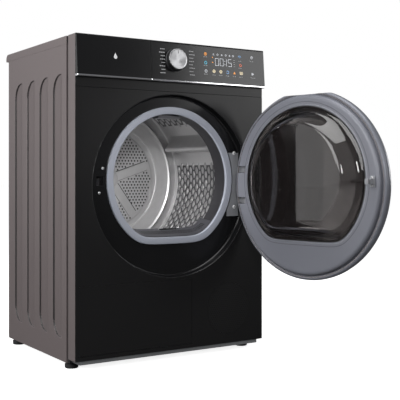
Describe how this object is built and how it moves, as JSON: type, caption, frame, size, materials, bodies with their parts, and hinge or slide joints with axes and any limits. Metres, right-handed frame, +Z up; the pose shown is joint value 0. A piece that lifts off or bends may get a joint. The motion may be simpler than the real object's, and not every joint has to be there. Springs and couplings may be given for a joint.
{
  "type": "clothes dryer",
  "caption": "Front-loading heat-pump clothes dryer with an open round door, drum, lint filter, console knob, water drawer and service flap.",
  "frame": {"origin": "middle of the footprint at floor level, with the door standing open as at rest", "axes": "+Z up, -Y is the front with the loading mouth, +X towards the door hinge"},
  "size_m": [0.638, 0.9822, 0.87],
  "materials": {
    "graphite_paint": "satin metallic graphite enamel",
    "front_paint": "satin black enamel with a soft reflection",
    "gloss_black": "gloss black moulding",
    "black_moulding": "matt black",
    "grey_moulding": "matt mid grey",
    "filter_moulding": "matt perforated grey",
    "pale_ring": "satin blue grey",
    "door_satin": "satin grey",
    "smoked_bowl": "smoked transparent moulding",
    "smoked_glass": "smoked glass",
    "lamp_lens": "frosted lens",
    "chrome_trim": "bright chrome",
    "knob_metal": "brushed face, dark skirt",
    "drum_steel": "satin stainless steel",
    "hinge_steel": "satin",
    "bearing_steel": "machined",
    "galvanised_sheet": "zinc coated sheet",
    "cast_casing": "cast",
    "finned_aluminium": "bare fins",
    "circuit_board": "lacquered board",
    "belt_rubber": "ribbed",
    "roller_rubber": "moulded",
    "foot_rubber": "matt black"
  },
  "bodies": {
    "cabinet": {"base_tray": "galvanised_sheet", "side_panel_left": "graphite_paint", "side_panel_right": "graphite_paint", "rear_panel": "galvanised_sheet", "top_cover": "graphite_paint", "seam_frame": "black_moulding", "front_panel": "front_paint", "recess_bezel": "gloss_black", "opening_ring": "pale_ring", "vent_grille": "front_paint", "console_housing": "front_paint", "console_fascia": "gloss_black", "chrome_strip_right": "chrome_trim", "control_board": "circuit_board", "tank_channel": "grey_moulding", "front_bulkhead": "black_moulding", "rear_bulkhead": "galvanised_sheet", "rear_bearing": "bearing_steel", "motor_body": "cast_casing", "fan_housing": "grey_moulding", "drive_belt": "belt_rubber", "compressor": "black_moulding", "evaporator": "finned_aluminium", "condenser": "finned_aluminium", "exchanger_cover": "grey_moulding", "filter_housing": "grey_moulding", "lamp_lens": "lamp_lens", "latch_housing": "black_moulding", "hinge_bracket": "hinge_steel", "hinge_pin": "bearing_steel", "cord_gland": "foot_rubber"},
    "water_drawer": {"drawer_front": "gloss_black", "chrome_strip_left": "chrome_trim", "water_tank": "grey_moulding", "tank_lid": "grey_moulding"},
    "programme_knob": {"programme_knob": "knob_metal"},
    "drum": {"drum_shell": "drum_steel", "drum_back": "drum_steel", "drum_shaft": "bearing_steel", "drum_lifter_1": "drum_steel", "drum_lifter_2": "drum_steel", "drum_lifter_3": "drum_steel"},
    "motor_rotor": {"motor_pulley": "bearing_steel", "fan_wheel": "grey_moulding"},
    "roller_left": {"support_roller_left": "roller_rubber"},
    "roller_right": {"support_roller_right": "roller_rubber"},
    "service_flap": {"service_flap": "front_paint"},
    "lint_filter": {"lint_filter": "filter_moulding"},
    "cover_lever_left": {"cover_lever_left": "grey_moulding"},
    "cover_lever_right": {"cover_lever_right": "grey_moulding"},
    "door": {"door_inner_frame": "door_satin", "door_bowl": "smoked_bowl", "door_outer_frame": "door_satin", "door_trim_ring": "chrome_trim", "door_glass": "smoked_glass", "door_hook": "hinge_steel"},
    "foot_front_left": {"foot_front_left": "foot_rubber"},
    "foot_front_right": {"foot_front_right": "foot_rubber"},
    "foot_rear_left": {"foot_rear_left": "foot_rubber"},
    "foot_rear_right": {"foot_rear_right": "foot_rubber"}
  },
  "joints": [
    {"name": "door_hinge", "type": "hinge", "parent": "cabinet", "child": "door", "pos_m": [0.20449, -0.02042, 0.479], "axis": [0, 0, 1], "range_deg": [-101.8, 8]},
    {"name": "drawer_slide", "type": "slide", "parent": "cabinet", "child": "water_drawer", "axis": [0, -1, 0], "range_m": [0, 0.38]},
    {"name": "programme_knob_turn", "type": "hinge", "parent": "cabinet", "child": "programme_knob", "pos_m": [-0.02751, -0.01489, 0.82], "axis": [0, -0.9973, 0.0731], "continuous": true},
    {"name": "drum_spin", "type": "hinge", "parent": "cabinet", "child": "drum", "pos_m": [-0.02151, 0.23508, 0.495], "axis": [0, 1, 0], "continuous": true},
    {"name": "motor_spin", "type": "hinge", "parent": "cabinet", "child": "motor_rotor", "pos_m": [0.15749, 0.19508, 0.128], "axis": [0, 1, 0], "continuous": true},
    {"name": "roller_left_spin", "type": "hinge", "parent": "cabinet", "child": "roller_left", "pos_m": [-0.16181, 0.09108, 0.25199], "axis": [0, 1, 0], "continuous": true},
    {"name": "roller_right_spin", "type": "hinge", "parent": "cabinet", "child": "roller_right", "pos_m": [0.11879, 0.09108, 0.25199], "axis": [0, 1, 0], "continuous": true},
    {"name": "flap_hinge", "type": "hinge", "parent": "cabinet", "child": "service_flap", "pos_m": [-0.13776, -0.00292, 0.043], "axis": [1, 0, 0], "range_deg": [0, 90]},
    {"name": "lint_filter_lift", "type": "slide", "parent": "cabinet", "child": "lint_filter", "axis": [0, 0, 1], "range_m": [0, 0.12]},
    {"name": "cover_lever_left_turn", "type": "hinge", "parent": "cabinet", "child": "cover_lever_left", "pos_m": [-0.26051, 0.02308, 0.1305], "axis": [0, 1, 0], "range_deg": [0, 90]},
    {"name": "cover_lever_right_turn", "type": "hinge", "parent": "cabinet", "child": "cover_lever_right", "pos_m": [-0.01301, 0.02308, 0.1305], "axis": [0, 1, 0], "range_deg": [0, 90]},
    {"name": "foot_front_left_turn", "type": "hinge", "parent": "cabinet", "child": "foot_front_left", "pos_m": [-0.29601, 0.06808, 0.007], "axis": [0, 0, 1], "continuous": true},
    {"name": "foot_front_right_turn", "type": "hinge", "parent": "cabinet", "child": "foot_front_right", "pos_m": [0.25299, 0.06808, 0.007], "axis": [0, 0, 1], "continuous": true},
    {"name": "foot_rear_left_turn", "type": "hinge", "parent": "cabinet", "child": "foot_rear_left", "pos_m": [-0.29601, 0.44608, 0.007], "axis": [0, 0, 1], "continuous": true},
    {"name": "foot_rear_right_turn", "type": "hinge", "parent": "cabinet", "child": "foot_rear_right", "pos_m": [0.25299, 0.44608, 0.007], "axis": [0, 0, 1], "continuous": true}
  ],
  "couplings": [
    {"joint": "motor_spin", "follows": "drum_spin", "ratio": 10},
    {"joint": "roller_left_spin", "follows": "drum_spin", "ratio": -8.3333},
    {"joint": "roller_right_spin", "follows": "drum_spin", "ratio": -8.3333}
  ]
}
